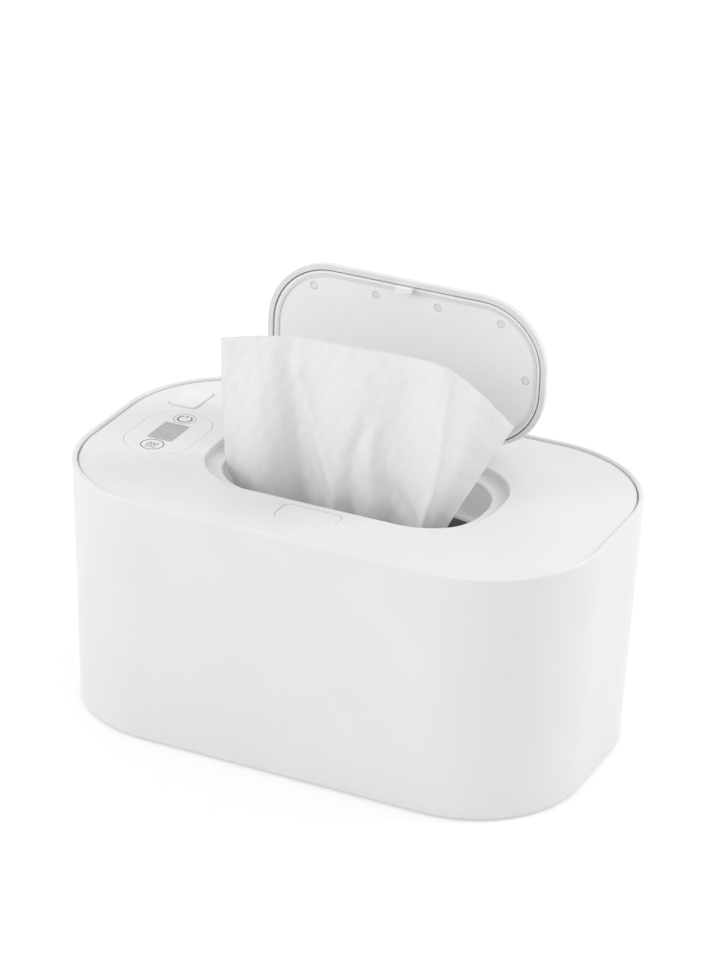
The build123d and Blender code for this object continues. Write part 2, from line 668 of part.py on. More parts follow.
def lid_ears():
    """Ears under the skin that hold the lid's pin."""
    ears = Part()
    near = ARM_X + ARM_WIDTH / 2 + EAR_GAP
    y0 = LID_PIVOT_Y - EYE_R
    y1 = LID_PIVOT_Y + EYE_R
    for side in (1, -1):
        for x in (near, INNER_EAR_X):
            x0, x1 = sorted((side * x, side * (x + EAR)))
            ears += block(x0, x1, y0, y1, LID_PIVOT_Z, SKIN_Z + SINK)
            ears += rod(x0, x1, LID_PIVOT_Y, LID_PIVOT_Z, EYE_R)
    reach = near + EAR + OVER
    return ears - rod(-reach, reach, LID_PIVOT_Y, LID_PIVOT_Z, LID_PIN_R + PIN_GAP)


def recess_floor():
    """Floor of the lid's recess with the dispensing hole's rounded edge."""
    floor = recess_space(PLATE, RECESS_LOW, RECESS_Z) - hole_space(0, RECESS_LOW - OVER, RECESS_Z + OVER)
    return fillet(mouth_edges(floor), HOLE_FILLET)


def cover_screw_places():
    """Places of the liner plate's screws."""
    return [(sx * (HALF_LENGTH - dx), sy * (HALF_DEPTH - dy)) for sx, dx, sy, dy in COVER_SCREWS]


def top_cover():
    """Refill cover: skin, skirt, lid recess with its dispensing hole, ears and screw bosses."""
    body = plan(COVER_INSET, SKIN_Z, COVER_Z) - recess_space(0, SKIN_Z - OVER, COVER_Z + OVER)
    body = fillet(edges_at(body, COVER_Z), RECESS_FILLET)
    skirt = plan(SKIRT_OUT, LINER_Z, SKIN_Z + SINK)
    body += skirt - plan(SKIRT_OUT + SKIRT_WALL, LINER_Z - OVER, SKIN_Z + OVER)
    wall = recess_space(PLATE, RECESS_LOW, SKIN_Z + SINK)
    body += wall - recess_space(0, RECESS_LOW - OVER, SKIN_Z + OVER)
    body += recess_floor()
    slot_end = LID_PIVOT_Y - ARM_INNER + ARM_SWING_GAP
    body -= arm_slots(0, slot_end, RECESS_LOW - OVER, RECESS_Z + OVER)
    body -= striker_slot()
    for x, y in cover_screw_places():
        body += post(x, y, BOSS_R, LINER_Z, SKIN_Z + SINK)
        body -= post(x, y, SCREW_R + SHAFT_GAP, LINER_Z - OVER, LINER_Z + BOSS_BORE)
    body += lid_ears()
    body -= control_openings()
    body -= button_opening()
    return cover_knuckles(body)


def striker_slot():
    """Slot in the recess floor for the lid's striker and the catch's nose."""
    half = NOSE_HALF + STRIKER_GAP
    front = STRIKER_Y - STRIKER_THICK - STRIKER_LIP - STRIKER_GAP
    return block(-half, half, front, STRIKER_Y + STRIKER_GAP, RECESS_LOW - OVER, RECESS_Z + OVER)


def control_openings():
    """Recess for the control panel, with holes for the display, touch springs and light button."""
    floor = COVER_Z - PANEL_THICK - DISPLAY_GAP
    cut = pad(PANEL, PANEL_CORNER, floor, COVER_Z + OVER, SEAT_GAP)
    cut += pad(WINDOW, WINDOW_CORNER, SKIN_Z - OVER, COVER_Z, SLIDE_GAP)
    for y in TOUCH_Y:
        cut += post(WINDOW_X, y, TOUCH_R + SLIDE_GAP, SKIN_Z - OVER, COVER_Z)
    return cut + pad(LIGHT, LIGHT_CORNER, SKIN_Z - OVER, COVER_Z + OVER, SLIDE_GAP)


def button_opening():
    """Opening in the skin for the lid button."""
    return button_slab(SLIDE_GAP, SKIN_Z - OVER, COVER_Z + OVER)


def cover_knuckles(body):
    """Clears the tub's knuckles from the cover's rear edge and adds the cover's own."""
    clear = KNUCKLE_R + KNUCKLE_GAP
    for x0, x1 in knuckle_spans(True):
        body -= rod(x0 - KNUCKLE_GAP, x1 + KNUCKLE_GAP, COVER_PIVOT_Y, COVER_PIVOT_Z, clear)
    for x0, x1 in knuckle_spans(False):
        body += rod(x0, x1, COVER_PIVOT_Y, COVER_PIVOT_Z, KNUCKLE_R)
    outer = KNUCKLE_ENDS[-1] + OVER
    return body - rod(-outer, outer, COVER_PIVOT_Y, COVER_PIVOT_Z, COVER_PIN_R + PIN_GAP)


def cover_liner():
    """Plate that closes the cover from below, with a collar down from the dispensing hole."""
    plate = plan(SKIRT_OUT, LINER_LOW, LINER_Z - SEAT_GAP)
    plate += hole_space(COLLAR_STEP + COLLAR_WALL, COLLAR_LOW, RECESS_LOW - SEAT_GAP)
    plate -= hole_space(COLLAR_STEP, COLLAR_Z, RECESS_LOW + OVER)
    plate -= hole_space(COLLAR_STEP - COLLAR_LIP, COLLAR_LOW - OVER, COLLAR_Z + OVER)
    plate -= arm_slots(0, LID_PIVOT_Y + EYE_R + ARM_SIDE_GAP, arm_low(), RECESS_LOW + OVER)
    for x, y in cover_screw_places():
        plate -= post(x, y, SCREW_R + SHAFT_GAP, LINER_LOW - OVER, LINER_Z + OVER)
    for side in (1, -1):
        plate -= magnet_place(side, LINER_LOW - OVER, LINER_LOW + MAGNET[2], SEAT_GAP)
        rail = CATCH_HALF + SLIDE_GAP
        x0, x1 = sorted((side * rail, side * (rail + PLATE)))
        plate += block(x0, x1, BUTTON_Y - RAIL_REACH, BUTTON_Y - RAIL_END, LINER_Z - RAIL_FOOT, CATCH_TOP)
    plate += board_posts()
    for x, y in contact_points():
        plate -= post(x, y, CONTACT_PAD_R + PIN_GAP, LINER_LOW - OVER, LINER_Z + OVER)
    return plate


def arm_low():
    """Height below which the swinging arms clear the collar's rear wall."""
    back = LID_PIVOT_Y - COLLAR_OUT
    return LID_PIVOT_Z - sqrt(ARM_OUTER**2 - back**2) - ARM_SIDE_GAP


def board_posts():
    """Posts that carry the control board."""
    x0, x1, y0, y1 = BOARD
    places = [(x1 - BOARD_POST_IN, y0 + BOARD_POST_IN), (x1 - BOARD_POST_IN, y1 - BOARD_POST_IN)]
    places += [(x0 + dx, y0 + dy) for dx, dy in BOARD_POSTS_OUT]
    posts = Part()
    for x, y in places:
        posts += post(x, y, BOARD_POST_R, LINER_Z - POST_FOOT, BOARD_Z)
    return posts


def cover_screws():
    """Screws up through the liner plate into the cover's bosses."""
    screws = Part()
    for x, y in cover_screw_places():
        screws += post(x, y, SCREW_HEAD_R, LINER_LOW - SCREW_HEAD, LINER_LOW)
        screws += post(x, y, SCREW_R, LINER_LOW - SINK, LINER_Z + BOSS_BORE - SCREW_END_GAP)
    return screws


def cover_gasket():
    """Soft ring under the liner plate, over the tank's mouth."""
    inset = SHELL_WALL + LEDGE_WIDTH
    body = plan(inset, GASKET_LOW, LINER_LOW)
    return body - plan(inset + GASKET_WIDTH, GASKET_LOW - OVER, LINER_LOW + OVER)


# ================================================================ controls
def control_panel():
    """Flush panel with an opening for the display window."""
    low = COVER_Z - PANEL_THICK
    body = pad(PANEL, PANEL_CORNER, low, COVER_Z)
    return body - pad(WINDOW, WINDOW_CORNER, low - OVER, COVER_Z + OVER, DISPLAY_GAP)


def display_window():
    """Grey window, flush with the panel."""
    return pad(WINDOW, WINDOW_CORNER, COVER_Z - WINDOW_THICK, COVER_Z - DISPLAY_GAP)


def display_module():
    """Digit display between the board and the window."""
    x0, x1, y0, y1 = WINDOW
    inset = DISPLAY_INSET
    high = COVER_Z - WINDOW_THICK - DISPLAY_GAP
    return block(x0 + inset, x1 - inset, y0 + inset, y1 - inset, BOARD_TOP, high)


def control_board():
    """Circuit board of the controls, cut to the skirt's curve."""
    board = pad(BOARD, BOARD_CORNER, BOARD_Z, BOARD_TOP)
    return board & plan(SKIRT_OUT + SKIRT_WALL + BOARD_EDGE_GAP, BOARD_Z - OVER, BOARD_TOP + OVER)


def touch_springs():
    """Spring electrodes between the board and the panel's two keys."""
    top = COVER_Z - PANEL_THICK - DISPLAY_GAP
    springs = Part()
    for y in TOUCH_Y:
        springs += post(WINDOW_X, y, TOUCH_R, BOARD_TOP, top)
        springs -= post(WINDOW_X, y, TOUCH_R - TOUCH_WALL, BOARD_TOP - OVER, top + OVER)
    return springs


def light_centre():
    """Middle of the light button."""
    x0, x1, y0, y1 = LIGHT
    return (x0 + x1) / 2, (y0 + y1) / 2


def tact_switch():
    """Push switch on the board under the light button."""
    x, y = light_centre()
    half = SWITCH_SIZE / 2
    body = block(x - half, x + half, y - half, y + half, BOARD_TOP, SWITCH_TOP)
    return body + post(x, y, PLUNGER_R, SWITCH_TOP - SINK, SWITCH_TOP + PLUNGER)


def light_button():
    """Proud rounded key with a stem down to its switch."""
    top = COVER_Z + LIGHT_PROUD
    cap = pad(LIGHT, LIGHT_CORNER, SKIN_Z + LIGHT_SKIRT, top)
    cap = fillet(edges_at(cap, top), KEY_FILLET)
    cap -= pad(LIGHT, LIGHT_CORNER, SKIN_Z - OVER, top - LIGHT_WALL, -LIGHT_WALL)
    x, y = light_centre()
    low = SWITCH_TOP + PLUNGER + LIGHT_TRAVEL + STEM_GAP
    return cap + post(x, y, STEM_R, low, top - LIGHT_WALL + SINK)


# ================================================================ lid button and catch
def button_slab(grow, z0, z1):
    """Plan of the lid button, grown, between two heights."""
    return slab(BUTTON_LENGTH + 2 * grow, BUTTON_DEPTH + 2 * grow, BUTTON_CORNER + grow, z0, z1,
                0, BUTTON_Y)


def lid_button():
    """Flush key with a retaining flange and a slanting rib that drives the catch."""
    flange_top = SKIN_Z - SEAT_GAP
    flange_low = flange_top - FLANGE_THICK
    cap = fillet(edges_at(button_slab(0, flange_low, COVER_Z), COVER_Z), KEY_FILLET)
    cap += button_slab(BUTTON_FLANGE, flange_low, flange_top)
    cap -= button_slab(-BUTTON_WALL, flange_low - OVER, BUTTON_UNDER)
    high = CAM_Z + CAM_RISE
    half = CAM_THICK / 2
    y = cam_y(high)
    rib = block(-CAM_HALF, CAM_HALF, y - half, y + half, high - SINK, BUTTON_UNDER + SINK)
    return cap + cam(CAM_HALF, 0, CAM_Z, high) + rib


def cam_y(z):
    """Middle of the slanting rib at height z."""
    return CAM_Y - (z - CAM_Z)


def cam(half, grow, z0, z1):
    """Slanting rib between two heights: it leans forward by as much as it rises."""
    reach = CAM_THICK / 2 + grow
    low, high = cam_y(z0), cam_y(z1)
    corners = [(low - reach, z0), (low + reach, z0), (high + reach, z1), (high - reach, z1)]
    face = make_face(Polyline(*[(-half, y, z) for y, z in corners], close=True))
    return extrude(face, 2 * half, dir=(1, 0, 0))


def button_springs():
    """Return springs of the lid button, on the liner plate either side of the catch."""
    x = CATCH_HALF + 2 * SLIDE_GAP + PLATE + BUTTON_SPRING_R
    top = BUTTON_UNDER - DISPLAY_GAP
    springs = Part()
    for place in (x, -x):
        springs += post(place, BUTTON_Y, BUTTON_SPRING_R, LINER_Z, top)
        springs -= post(place, BUTTON_Y, BUTTON_SPRING_R - BUTTON_SPRING_WALL, LINER_Z - OVER, top + OVER)
    return springs


def lid_catch():
    """Sliding plate with a slanting slot for the button's rib and a nose over the lid's striker."""
    back = NOSE_Y - NOSE_LENGTH
    plate = block(-CATCH_HALF, CATCH_HALF, BUTTON_Y - CATCH_REACH, back, CATCH_LOW, CATCH_TOP)
    plate += block(-NOSE_HALF, NOSE_HALF, back - OVER, NOSE_Y, NOSE_LOW, CATCH_TOP)
    return plate - cam(CAM_HALF + SLIDE_GAP, SLIDE_GAP, CATCH_LOW - OVER, CATCH_TOP + OVER)


# ================================================================ lid, drawn closed
def lid_sweep():
    """Body of revolution about the pin that the recess's rear edge traces as the lid turns."""
    straight = RECESS_LENGTH / 2 - RECESS_CORNER

    def edge(angle):
        turn = radians(angle)
        back = LID_PIVOT_Y - RECESS_FLAT - RECESS_CORNER * cos(turn)
        return straight + RECESS_CORNER * sin(turn), hypot(back, LID_PIVOT_DROP) + LID_SWEEP_GAP

    half = [edge(angle) for angle in (0, 15, 30, 45, 60)]
    left = [(-x, r) for x, r in reversed(half)]
    x, r = half[-1]
    curves = [Spline(*left), Line(left[-1], half[0]), Spline(*half)]
    curves.append(Polyline((x, r), (x, 0), (-x, 0), (-x, r)))
    return Pos(0, LID_PIVOT_Y, LID_PIVOT_Z) * revolve(make_face(curves), Axis.X)


def stake_places():
    """Places of the posts that hold the liner in the lid."""
    return [place for stake in STAKES for place in mirrored(stake)] + [END_STAKE]


def lid_shell():
    """Outer lid: thin skin and a rounded rim wall, with posts for the liner."""
    under = COVER_Z - LID_SKIN
    body = recess_space(-LID_GAP, LID_LOW, COVER_Z)
    body = fillet(edges_at(body, COVER_Z), LID_CROWN_FILLET)
    body -= recess_space(-LID_GAP - LID_RIM, LID_LOW - OVER, under)
    body -= lid_sweep()
    for x, y in stake_places():
        body += post(x, y, STAKE_R, LID_LINER_LOW + SINK, under + SINK)
    return opened(body)


def lid_arm(x):
    """Curved arm about the pin, from the liner round to the eye."""

    def place(radius, angle):
        turn = radians(angle)
        return LID_PIVOT_Y + radius * cos(turn), LID_PIVOT_Z + radius * sin(turn)

    middle = (ARM_START + ARM_END) / 2
    half = ARM_WIDTH / 2
    with BuildPart() as made:
        with BuildSketch(Plane.YZ.offset(x - half)):
            with BuildLine():
                for radius in (ARM_INNER, ARM_OUTER):
                    ThreePointArc(*[place(radius, angle) for angle in (ARM_START, middle, ARM_END)])
                for angle in (ARM_START, ARM_END):
                    Line(place(ARM_OUTER, angle), place(ARM_INNER, angle))
            make_face()
        extrude(amount=ARM_WIDTH)
    spoke = Pos(x, LID_PIVOT_Y, LID_PIVOT_Z) * Rot(ARM_END - 90, 0, 0)
    spoke = spoke * Pos(0, 0, ARM_OUTER / 2) * Box(ARM_WIDTH, SPOKE_THICK, ARM_OUTER - SPOKE_SHORT)
    eye = rod(x - half, x + half, LID_PIVOT_Y, LID_PIVOT_Z, EYE_R)
    return made.part + spoke + eye - rod(x - ARM_WIDTH, x + ARM_WIDTH, LID_PIVOT_Y, LID_PIVOT_Z,
                                         LID_PIN_R + PIN_GAP)


def lid_liner():
    """Inner panel of the lid with its seal groove, two hinge arms and the striker."""
    body = recess_space(-LINER_INSET, LID_LINER_LOW, LID_LINER_TOP)
    for x, y in stake_places():
        body -= post(x, y, STAKE_R + SEAT_GAP, LID_LINER_LOW - OVER, LID_LINER_TOP + OVER)
    body -= seal_ring(LID_LINER_LOW - OVER, LID_LINER_LOW + SEAL_GROOVE, SEAL_SEAT)
    half = ARM_WIDTH / 2
    for x in (-ARM_X, ARM_X):
        body += lid_arm(x)
        body += block(x - half, x + half, LID_PIVOT_Y - ARM_OUTER, LID_PIVOT_Y - ARM_INNER,
                      LID_LINER_LOW, LID_LINER_TOP)
        body -= block(x - half - OVER, x + half + OVER, 0, LID_PIVOT_Y, LID_LINER_TOP, COVER_Z + ARM_R)
    front = STRIKER_Y - STRIKER_THICK
    body += block(-NOSE_HALF, NOSE_HALF, front, STRIKER_Y, STRIKER_LOW, LID_LINER_LOW + STRIKER_FOOT)
    body += block(-NOSE_HALF, NOSE_HALF, front - STRIKER_LIP, STRIKER_Y, STRIKER_LOW,
                  STRIKER_LOW + LIP_THICK)
    return opened(body)


def seal_ring(z0, z1, grow):
    """Ring near the liner's edge, left out where the arms cross it."""
    outer = LINER_INSET + SEAL_STEP - grow
    inner = LINER_INSET + SEAL_STEP + SEAL_WIDTH + grow
    body = recess_space(-outer, z0, z1) - recess_space(-inner, z0 - OVER, z1 + OVER)
    half = ARM_WIDTH / 2 + ARM_SIDE_GAP - grow
    for x in (-ARM_X, ARM_X):
        body -= block(x - half, x + half, 0, HALF_DEPTH, z0 - OVER, z1 + OVER)
    return body


def lid_seal():
    """Soft seal in the liner's groove."""
    return opened(seal_ring(RECESS_Z + SEAT_GAP, LID_LINER_LOW + SEAL_GROOVE - SEAL_SEAT, 0))


def lid_hinge_pin():
    """Pin under the cover's skin that carries both arms."""
    reach = ARM_X + ARM_WIDTH / 2 + EAR_GAP + EAR
    return rod(-reach, reach, LID_PIVOT_Y, LID_PIVOT_Z, LID_PIN_R)


def lid_spring():
    """Torsion spring wound on the pin, with a leg to the skin and a leg to the arm's side."""
    arcs = []
    for quarter in range(4 * SPRING_TURNS):
        arcs.append(ThreePointArc(*[coil_point((quarter + part) / 4) for part in (0, 0.5, 1)]))
    first = Line(arcs[0] @ 0 - arcs[0] % 0 * SPRING_LEG, arcs[0] @ 0)
    last = Line(arcs[-1] @ 1, arcs[-1] @ 1 + arcs[-1] % 1 * SPRING_LEG)
    path = Wire([first, *arcs, last])
    wire = sweep(Plane(origin=path @ 0, z_dir=path % 0) * Circle(SPRING_WIRE / 2), path=path)
    return Pos(INNER_EAR_X + EAR + SPRING_SIDE_GAP, LID_PIVOT_Y, LID_PIVOT_Z) * Rot(0, 90, 0) * wire


def coil_point(turns):
    """Point on the coil's middle line after some turns."""
    return SPRING_R * cos(2 * pi * turns), SPRING_R * sin(2 * pi * turns), SPRING_PITCH * turns


# ================================================================ wipes
def wipe_stack():
    """Pack of folded wipes on the tank's floor."""
    body = slab(LENGTH - 2 * STACK_END, DEPTH - 2 * STACK_SIDE, STACK_CORNER, STACK_LOW, STACK_TOP)
    return fillet(edges_at(body, STACK_TOP), STACK_ROUND)


def wipe_section(z, width, fold, flap, back):
    """Folded section of the pulled wipe at height z, drawn with arcs from fold to fold."""
    half = HOLE_LENGTH / 2
    line = [(share * width * half, WIPE_Y + side * fold) for share, side in WIPE_FOLDS]
    crease = line[-1]
    end = (flap * half, WIPE_Y + back)
    line += [((crease[0] + end[0]) / 2, (crease[1] + end[1] - fold) / 2), end]
    faces = []
    for shift in (-WIPE_THICK / 2, WIPE_THICK / 2):
        points = [(x, y + shift) for x, y in line]
        faces.append([ThreePointArc(*points[i:i + 3]) for i in range(0, len(points) - 2, 2)])
    front, rear = faces
    sides = [Line(front[0] @ 0, rear[0] @ 0), Line(front[-1] @ 1, rear[-1] @ 1)]
    return Pos(0, 0, z) * make_face(front + rear + sides)


def pulled_wipe():
    """Wipe standing out of the hole: lofted stretches through folded sections, cut to its top edge."""
    sections = [wipe_section(STACK_TOP + WIPE_GAP, *WIPE_PACK_SECTION)]
    sections += [wipe_section(COVER_Z + height, *rest) for height, *rest in WIPE_SECTIONS]
    body = loft(sections, ruled=True)
    half = HOLE_LENGTH / 2
    edge = [(x * half, COVER_Z + z) for x, z in WIPE_TOP]
    high = COVER_Z + WIPE_SECTIONS[-1][0] + OVER
    edge = [(2 * edge[0][0], edge[0][1])] + edge + [(edge[-1][0], high), (2 * edge[0][0], high)]
    face = make_face(Polyline(*[(x, -DEPTH, z) for x, z in edge], close=True))
    return body - extrude(face, 2 * DEPTH, dir=(0, 1, 0))


# ================================================================ write the pieces
PIECES = [
    outer_shell, base_cover, base_screws, rubber_feet, inner_tank, tank_foam, heater_film, thermostat,
    power_board, dc_inlet, contact_block, cover_hinge_pin, shell_magnets, wipe_stack, top_cover,
    cover_liner, cover_screws, cover_gasket, cover_magnets, contact_pads, control_panel, display_window,
    display_module, control_board, touch_springs, tact_switch, light_button, lid_button,
    button_springs, lid_catch, lid_hinge_pin, lid_spring, lid_shell, lid_liner, lid_seal, pulled_wipe,
]


def main():
    """Builds every piece and writes it to its own file."""
    os.makedirs("parts", exist_ok=True)
    for make in PIECES:
        export_step(make(), f"parts/{make.__name__}.step")


if __name__ == "__main__":
    main()
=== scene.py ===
"""Looks of the baby wipe warmer: materials for the rigid pieces, the pulled wipe as cloth, printed keys,
display digits, and a plain white studio at the photograph's viewing angle.

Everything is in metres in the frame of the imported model. MM turns millimetres into metres.
"""

from math import cos, pi, radians, sin

import bpy
import numpy as np
from mathutils import Matrix, Vector


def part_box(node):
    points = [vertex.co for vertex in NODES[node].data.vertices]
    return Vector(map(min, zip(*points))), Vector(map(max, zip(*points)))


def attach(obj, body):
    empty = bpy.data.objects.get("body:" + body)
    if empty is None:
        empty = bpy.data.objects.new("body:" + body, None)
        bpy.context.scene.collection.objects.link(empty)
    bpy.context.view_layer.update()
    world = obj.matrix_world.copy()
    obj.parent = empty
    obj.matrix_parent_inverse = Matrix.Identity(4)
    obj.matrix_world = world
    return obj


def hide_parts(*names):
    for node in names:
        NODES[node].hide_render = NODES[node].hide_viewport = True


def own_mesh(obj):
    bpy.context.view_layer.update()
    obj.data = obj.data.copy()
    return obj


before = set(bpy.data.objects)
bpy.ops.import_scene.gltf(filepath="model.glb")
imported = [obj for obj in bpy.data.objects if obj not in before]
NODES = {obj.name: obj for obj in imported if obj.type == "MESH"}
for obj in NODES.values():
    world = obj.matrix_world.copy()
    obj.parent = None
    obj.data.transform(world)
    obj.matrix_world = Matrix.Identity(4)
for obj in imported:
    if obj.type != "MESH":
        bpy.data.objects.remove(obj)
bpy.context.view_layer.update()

MM = 0.001

# ---------------------------------------------------------------- camera, from the tub's outline in the photo
IMAGE_HEIGHT = 968
FOCAL_PIXELS = 3567.3
SENSOR = 36.0
CAMERA_AZIMUTH = 24.72
CAMERA_ELEVATION = 25.33
CAMERA_ROLL = 1.83
CAMERA_AT = Vector((572.46, -1245.00, 756.90)) * MM
CAMERA_REACH = 20.0  # metres

# ---------------------------------------------------------------- studio, in metres and watts
ROOM_LIGHT = 0.86
LIGHT_AIM = Vector((0, 0, 0.1))
SOFT_BOX_REACH = 2.5
SOFT_BOX_SIZE = 0.9
SOFT_BOXES = [("left_box", -45, 25, 12.0), ("right_box", 125, 35, 15.0)]  # azimuth, elevation and power
FLOOR_HALF = 6.0
FLOOR_TONE = 0.86
FLOOR_SHOWN = 0.6
FLOOR_GLOW = 0.45

# ---------------------------------------------------------------- sizes shared with the solids
COVER_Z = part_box("control_panel")[1][2]
TUB_BODY = "tub"
COVER_BODY = "cover"


# ================================================================ node helpers
RAMP_RANGE = (0.3, 0.7)  # part of a factor's range over which a colour changes


def new_material(name):
    """Empty node material with its output; returns material, nodes and links."""
    mat = bpy.data.materials.new(name)
    mat.use_nodes = True
    tree = mat.node_tree
    tree.nodes.clear()
    return mat, tree.nodes, tree.links


def shader(nodes, links, colour, roughness, **sockets):
    """Principled shader joined to the output, with constants set on its own sockets."""
    out = nodes.new("ShaderNodeOutputMaterial")
    bsdf = nodes.new("ShaderNodeBsdfPrincipled")
    bsdf.inputs["Base Color"].default_value = (*colour, 1.0)
    bsdf.inputs["Roughness"].default_value = roughness
    for name, value in sockets.items():
        bsdf.inputs[name.replace("_", " ")].default_value = value
    links.new(bsdf.outputs["BSDF"], out.inputs["Surface"])
    return bsdf


def noise(nodes, links, scale, detail=3.0, rough=0.5, stretch=(1, 1, 1)):
    """Noise over the object's own coordinates, scale in cycles per metre; returns its factor."""
    coord = nodes.new("ShaderNodeTexCoord")
    mapping = nodes.new("ShaderNodeMapping")
    mapping.inputs["Scale"].default_value = stretch
    tex = nodes.new("ShaderNodeTexNoise")
    tex.inputs["Scale"].default_value = scale
    tex.inputs["Detail"].default_value = detail
    tex.inputs["Roughness"].default_value = rough
    links.new(coord.outputs["Object"], mapping.inputs["Vector"])
    links.new(mapping.outputs["Vector"], tex.inputs["Vector"])
    return tex.outputs["Fac"]


def colour_between(nodes, links, bsdf, factor, low, high):
    """Base colour that goes from one colour to another over the middle of a factor's range."""
    node = nodes.new("ShaderNodeValToRGB")
    for element, place, colour in zip(node.color_ramp.elements, RAMP_RANGE, (low, high)):
        element.position = place
        element.color = (*colour, 1.0)
    links.new(factor, node.inputs["Fac"])
    links.new(node.outputs["Color"], bsdf.inputs["Base Color"])


def roughness_between(nodes, links, bsdf, factor, low, high):
    """Roughness that varies with a factor."""
    node = nodes.new("ShaderNodeMapRange")
    node.inputs["To Min"].default_value = low
    node.inputs["To Max"].default_value = high
    links.new(factor, node.inputs["Value"])
    links.new(node.outputs["Result"], bsdf.inputs["Roughness"])


def bump(nodes, links, bsdf, factor, height):
    """Bump of a real height in metres."""
    node = nodes.new("ShaderNodeBump")
    node.inputs["Strength"].default_value = 1.0
    node.inputs["Distance"].default_value = height
    links.new(factor, node.inputs["Height"])
    links.new(node.outputs["Normal"], bsdf.inputs["Normal"])


def grey(value):
    """Neutral colour of one linear value."""
    return (value, value, value)


# ================================================================ materials
# Scales in cycles per metre, heights in metres.
FLOW_SCALE = 28
GLOSS_SCALE = 75
GLOSS_SPREAD = 0.1  # of the roughness, to either side
GRAIN_SCALE = 2200
BRUSH_SCALE = 700
BRUSH_STRETCH = (0.05, 1, 1)
BRUSH_ROUGHNESS = 0.32
BRUSH_HEIGHT = 0.000003
CLOTH_TONE = 0.83
CLOTH_CONTRAST = 0.03
CLOTH_ROUGHNESS = 0.92
FIBRE_SCALE = 900
FIBRE_STRETCH = (1, 1, 0.35)
CLOUD_SCALE = 45
CLOUD_SHARE = 0.35
CLOTH_HEIGHT = 0.00006


def plastic(name, tone, roughness, mottle=0.012, grain=0.000004):
    """Moulded plastic: slight flow mottle in its tone, uneven gloss and a fine spark-eroded grain."""
    mat, nodes, links = new_material(name)
    bsdf = shader(nodes, links, grey(tone), roughness)
    flow = noise(nodes, links, FLOW_SCALE)
    colour_between(nodes, links, bsdf, flow, grey(tone * (1 - mottle)), grey(tone * (1 + mottle)))
    gloss = noise(nodes, links, GLOSS_SCALE, detail=4.0)
    smoothest, roughest = roughness * (1 - GLOSS_SPREAD), roughness * (1 + GLOSS_SPREAD)
    roughness_between(nodes, links, bsdf, gloss, smoothest, roughest)
    bump(nodes, links, bsdf, noise(nodes, links, GRAIN_SCALE, detail=2.0), grain)
    return mat


def tinted(name, low, high, roughness, scale=60, metallic=0.0, grain=0.00001, grain_scale=900):
    """Finish that varies between two colours, with a light grain."""
    mat, nodes, links = new_material(name)
    bsdf = shader(nodes, links, low, roughness, Metallic=metallic)
    colour_between(nodes, links, bsdf, noise(nodes, links, scale, detail=4.0), low, high)
    bump(nodes, links, bsdf, noise(nodes, links, grain_scale), grain)
    return mat


def brushed(name, low, high):
    """Bright steel with fine lengthwise brushing."""
    mat, nodes, links = new_material(name)
    bsdf = shader(nodes, links, low, BRUSH_ROUGHNESS, Metallic=1.0)
    lines = noise(nodes, links, BRUSH_SCALE, detail=4.0, stretch=BRUSH_STRETCH)
    colour_between(nodes, links, bsdf, lines, low, high)
    bump(nodes, links, bsdf, lines, BRUSH_HEIGHT)
    return mat


def wipe_cloth(name):
    """Soft non-woven cloth: fine tangled fibres, an uneven thickness and a little sheen."""
    mat, nodes, links = new_material(name)
    bsdf = shader(nodes, links, grey(CLOTH_TONE), CLOTH_ROUGHNESS, Sheen_Weight=0.12, Sheen_Roughness=0.5,
                  Specular_IOR_Level=0.2)
    mix = nodes.new("ShaderNodeMix")
    mix.data_type = "FLOAT"
    mix.inputs[0].default_value = CLOUD_SHARE
    fibres = noise(nodes, links, FIBRE_SCALE, detail=6.0, rough=0.7, stretch=FIBRE_STRETCH)
    links.new(fibres, mix.inputs[2])
    links.new(noise(nodes, links, CLOUD_SCALE, detail=4.0, rough=0.6), mix.inputs[3])
    low, high = grey(CLOTH_TONE * (1 - CLOTH_CONTRAST)), grey(CLOTH_TONE * (1 + CLOTH_CONTRAST))
    colour_between(nodes, links, bsdf, mix.outputs[0], low, high)
    bump(nodes, links, bsdf, mix.outputs[0], CLOTH_HEIGHT)
    return mat


def make_materials():
    """One material for each finish, by name."""
    return {
        "housing": plastic("white_housing", 0.80, 0.34),
        "cover": plastic("white_cover", 0.80, 0.34),
        # inner liner and catch: the housing's white plastic painted lighter (0.9 against 0.8), painted light
        # that brightens the shaded inside of the lid and cover
        "inner": plastic("white_inner_painted_light", 0.9, 0.5, grain=0.000008),
        "panel": plastic("white_panel", 0.80, 0.22, mottle=0.006, grain=0.000001),
        "milky": plastic("milky_button", 0.83, 0.3, mottle=0.006, grain=0.000001),
        # tank: white plastic painted lighter (0.88), painted light that brightens the shaded inside of the
        # opening
        "tank": plastic("tank_plastic", 0.88, 0.5),
        "window": tinted("display_window", grey(0.42), grey(0.45), 0.25, grain=0.000001),
        "black": tinted("black_plastic", grey(0.02), grey(0.03), 0.45),
        "board": tinted("circuit_board", (0.01, 0.09, 0.03), (0.015, 0.12, 0.04), 0.4, scale=220),
        "film": tinted("heating_film", (0.42, 0.19, 0.03), (0.5, 0.24, 0.05), 0.3, scale=160),
        "foam": tinted("foam", grey(0.7), grey(0.78), 0.9, scale=300, grain=0.00008, grain_scale=1200),
        "rubber": tinted("grey_rubber", grey(0.11), grey(0.14), 0.8, grain=0.00002),
        "silicone": plastic("white_silicone", 0.76, 0.42, grain=0.000002),
        "ivory": tinted("ivory_plastic", (0.62, 0.6, 0.53), (0.66, 0.64, 0.57), 0.5),
        "plated": tinted("plated_contacts", (0.72, 0.5, 0.18), (0.78, 0.56, 0.22), 0.25, metallic=1.0),
        "steel": brushed("bright_steel", grey(0.5), grey(0.6)),
        "wipe": wipe_cloth("wipe_cloth"),
        "ink": tinted("grey_ink", grey(0.19), grey(0.23), 0.5, grain=0.000001),
        "ring": tinted("pale_ink", grey(0.42), grey(0.47), 0.45, grain=0.000001),
        "digit": tinted("display_digits", grey(0.54), grey(0.58), 0.35, grain=0.000001),
    }


